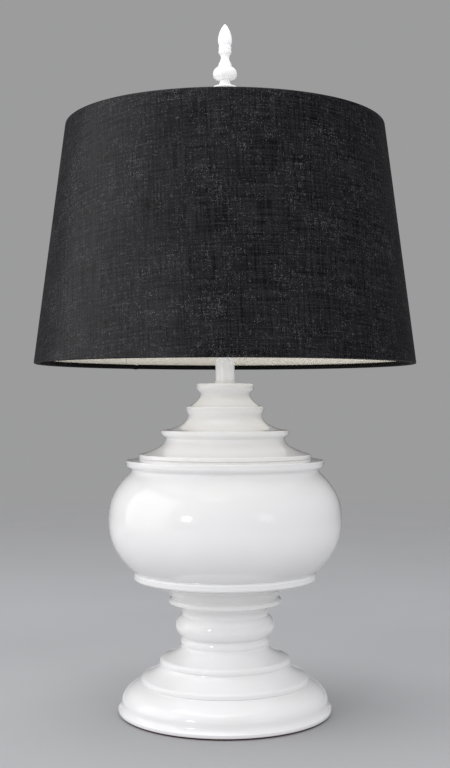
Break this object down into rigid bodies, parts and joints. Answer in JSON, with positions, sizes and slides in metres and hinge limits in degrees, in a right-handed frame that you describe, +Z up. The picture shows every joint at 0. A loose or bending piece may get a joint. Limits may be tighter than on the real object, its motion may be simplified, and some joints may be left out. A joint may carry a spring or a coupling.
{
  "type": "table lamp with shade",
  "caption": "Table lamp with a stepped, turned urn body in gloss white lacquer, a tapered black linen drum shade on a harp, and a tall turned white finial.",
  "frame": {"origin": "middle of the felt under the foot, on the table", "axes": "+Z up along the rod, front towards -Y, cord outlet towards +Y, harp in the XZ plane"},
  "size_m": [0.5079, 0.508, 0.9228],
  "materials": {
    "felt": "short wool felt",
    "lacquered_wood": "high gloss white lacquer",
    "bushing_plastic": "satin",
    "enamelled_steel": "gloss white enamel",
    "rod_brass": "plain drawn, threaded",
    "plated_steel": "zinc plated",
    "nickel_steel": "nickel plated, satin",
    "shell_brass": "polished",
    "liner_board": "plain",
    "phenolic": "moulded black",
    "screw_aluminium": "rolled",
    "knob_plastic": "moulded black",
    "bulb_aluminium": "rolled thread",
    "bulb_tip": "soldered",
    "bulb_seal": "black sealing glass",
    "bulb_frosted": "frosted",
    "linen": "slubbed black linen",
    "styrene": "satin off-white sheet",
    "ring_steel": "white powder coat",
    "binding_tape": "folded black linen tape"
  },
  "bodies": {
    "base": {"felt_pad": "felt", "foot": "lacquered_wood", "cord_bushing": "bushing_plastic", "stem": "lacquered_wood", "belly": "lacquered_wood", "stepped_cap": "lacquered_wood", "neck_collar": "enamelled_steel", "neck_tube": "enamelled_steel", "neck_cover": "enamelled_steel", "threaded_rod": "rod_brass", "rod_washer": "plated_steel", "rod_lock_washer": "plated_steel", "rod_nuts": "rod_brass", "harp_saddle": "nickel_steel", "harp_ferrules": "nickel_steel", "harp": "nickel_steel", "harp_stud": "rod_brass", "socket_cap": "shell_brass", "socket_shell": "shell_brass", "socket_liner": "liner_board", "socket_insulator": "phenolic", "screw_shell": "screw_aluminium", "centre_contact": "shell_brass", "terminal_screws": "rod_brass"},
    "switch_knob": {"switch_knob": "knob_plastic"},
    "harp_sleeve_left": {"harp_sleeve_left": "nickel_steel"},
    "harp_sleeve_right": {"harp_sleeve_right": "nickel_steel"},
    "bulb_travel": {"bulb_contact": "bulb_tip"},
    "bulb": {"bulb_insulator": "bulb_seal", "bulb_screw_cap": "bulb_aluminium", "bulb_glass": "bulb_frosted"},
    "shade": {"shade_cover": "linen", "shade_lining": "styrene", "shade_top_ring": "ring_steel", "shade_bottom_ring": "ring_steel", "shade_spider": "ring_steel", "shade_top_binding": "binding_tape", "shade_bottom_binding": "binding_tape"},
    "finial_travel": {"finial_insert": "rod_brass"},
    "finial": {"finial": "lacquered_wood"}
  },
  "joints": [
    {"name": "shade_turn", "type": "hinge", "parent": "base", "child": "shade", "pos_m": [0, 0, 0.767], "axis": [0, 0, 1], "continuous": true},
    {"name": "switch_turn", "type": "hinge", "parent": "base", "child": "switch_knob", "pos_m": [0, -0.025, 0.5144], "axis": [0, -1, 0], "continuous": true},
    {"name": "sleeve_left_lift", "type": "slide", "parent": "base", "child": "harp_sleeve_left", "axis": [0, 0, 1], "range_m": [0, 0.01]},
    {"name": "sleeve_right_lift", "type": "slide", "parent": "base", "child": "harp_sleeve_right", "axis": [0, 0, 1], "range_m": [0, 0.01]},
    {"name": "bulb_rise", "type": "slide", "parent": "base", "child": "bulb_travel", "axis": [0, 0, 1], "range_m": [0, 0.0182]},
    {"name": "bulb_turn", "type": "hinge", "parent": "bulb_travel", "child": "bulb", "pos_m": [0, 0, 0.55], "axis": [0, 0, 1], "range_deg": [0, 1800]},
    {"name": "finial_rise", "type": "slide", "parent": "base", "child": "finial_travel", "axis": [0, 0, 1], "range_m": [0, 0.0095]},
    {"name": "finial_turn", "type": "hinge", "parent": "finial_travel", "child": "finial", "pos_m": [0, 0, 0.8], "axis": [0, 0, 1], "range_deg": [0, 3600]}
  ],
  "couplings": [
    {"joint": "bulb_rise", "follows": "bulb_turn", "m_per_rad": 0.0005775},
    {"joint": "finial_rise", "follows": "finial_turn", "m_per_rad": 0.00014972}
  ]
}
